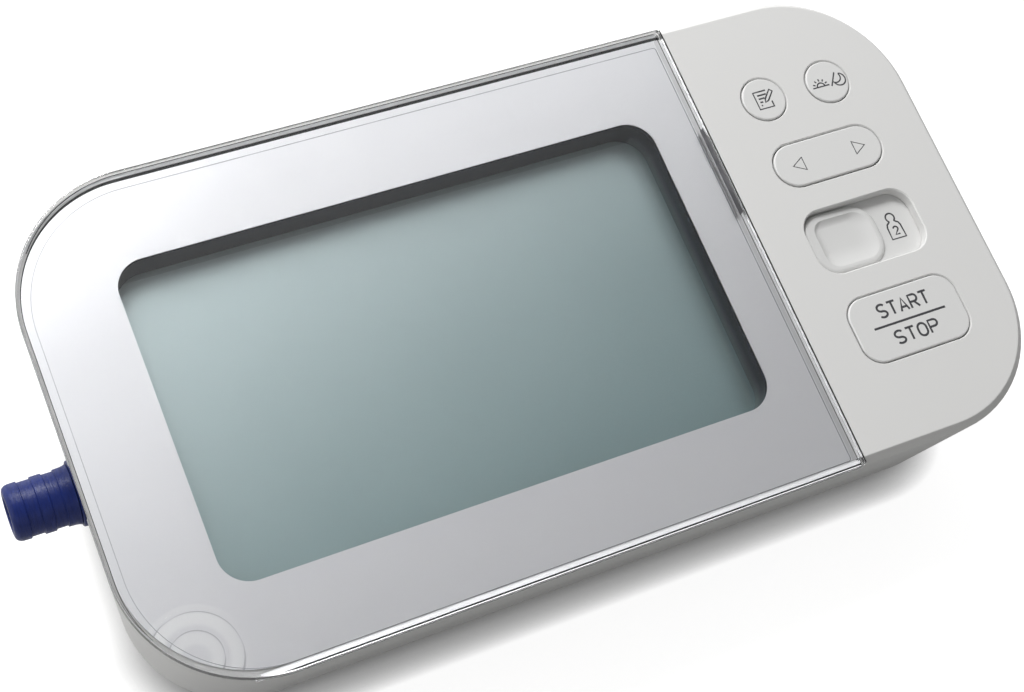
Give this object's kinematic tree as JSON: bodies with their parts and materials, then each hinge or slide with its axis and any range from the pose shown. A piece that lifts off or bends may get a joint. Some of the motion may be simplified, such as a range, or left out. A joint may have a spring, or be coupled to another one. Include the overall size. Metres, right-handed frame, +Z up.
{
  "type": "blood pressure monitor console",
  "caption": "Wedge-shaped tabletop blood pressure console with a sloping display, keys, user slider, air plug and battery door.",
  "frame": {"origin": "on the table under the middle of the footprint, the air plug included", "axes": "+Z up, +X to the user's right along the front, +Y from the user towards the back"},
  "size_m": [0.2028, 0.12, 0.0855],
  "materials": {
    "case_white": "fine satin moulding texture",
    "key_grey": "satin",
    "lens_clear": "polished clear acrylic",
    "mask_silver": "fine silver print",
    "tape_grey": "matt",
    "black_plastic": "satin",
    "lcd_glass": "soft grey-green, dark when off",
    "black_rubber": "matt",
    "board_green": "solder mask",
    "ribbon_amber": "polyimide film",
    "ivory_plastic": "satin",
    "steel": "bright",
    "plug_blue": "polished navy",
    "tube_silicone": "translucent grey",
    "cell_metal": "printed sleeve"
  },
  "bodies": {
    "console": {"upper_case": "case_white", "lower_case": "case_white", "display_lens": "lens_clear", "lens_mask": "mask_silver", "lens_tape": "tape_grey", "display_frame": "black_plastic", "lcd_panel": "lcd_glass", "lcd_holder": "black_plastic", "lcd_reflector": "tape_grey", "zebra_strips": "black_rubber", "main_board": "board_green", "board_chips": "black_plastic", "buzzer": "black_plastic", "pressure_sensor": "black_plastic", "key_board": "board_green", "key_ribbon": "ribbon_amber", "push_switches": "black_plastic", "rocker_pins": "ivory_plastic", "rocker_cradle": "ivory_plastic", "slider_guide": "black_plastic", "slide_switch": "steel", "air_jack": "black_plastic", "air_manifold": "ivory_plastic", "air_tubes": "tube_silicone", "pump_head": "black_plastic", "pump_motor": "steel", "pump_saddle": "black_rubber", "release_valve": "steel", "dc_jack": "black_plastic", "battery_cells": "cell_metal", "battery_contacts": "steel", "case_screws": "steel", "board_screws": "steel", "rubber_feet": "black_rubber"},
    "memory_button": {"memory_key": "key_grey", "memory_pin": "ivory_plastic"},
    "average_button": {"average_key": "key_grey", "average_pin": "ivory_plastic"},
    "start_button": {"start_key": "key_grey", "start_pin": "ivory_plastic"},
    "arrow_button": {"arrow_rocker": "key_grey"},
    "user_switch": {"user_slider": "key_grey", "slide_knob": "black_plastic"},
    "air_connector": {"air_plug": "plug_blue", "plug_o_ring": "black_rubber"},
    "battery_door": {"battery_cover": "case_white"}
  },
  "joints": [
    {"name": "memory_press", "type": "slide", "parent": "console", "child": "memory_button", "axis": [0, 0.5, -0.866], "range_m": [0, 0.0005], "stiffness_N_per_m": 1200},
    {"name": "average_press", "type": "slide", "parent": "console", "child": "average_button", "axis": [0, 0.5, -0.866], "range_m": [0, 0.0005], "stiffness_N_per_m": 1200},
    {"name": "start_press", "type": "slide", "parent": "console", "child": "start_button", "axis": [0, 0.5, -0.866], "range_m": [0, 0.0005], "stiffness_N_per_m": 1500},
    {"name": "arrow_tip", "type": "hinge", "parent": "console", "child": "arrow_button", "pos_m": [0.07587, -0.00354, 0.06376], "axis": [0, 0.866, 0.5], "range_deg": [-2.5, 2.5], "stiffness_Nm_per_rad": 0.2},
    {"name": "user_slide", "type": "slide", "parent": "console", "child": "user_switch", "axis": [1, 0, 0], "range_m": [0, 0.0082]},
    {"name": "plug_pull", "type": "slide", "parent": "console", "child": "air_connector", "axis": [-1, 0, 0], "range_m": [0, 0.012]},
    {"name": "door_swing", "type": "hinge", "parent": "console", "child": "battery_door", "pos_m": [0.00562, -0.01685, 0.0025], "axis": [-1, 0, 0], "range_deg": [0, 95]}
  ]
}
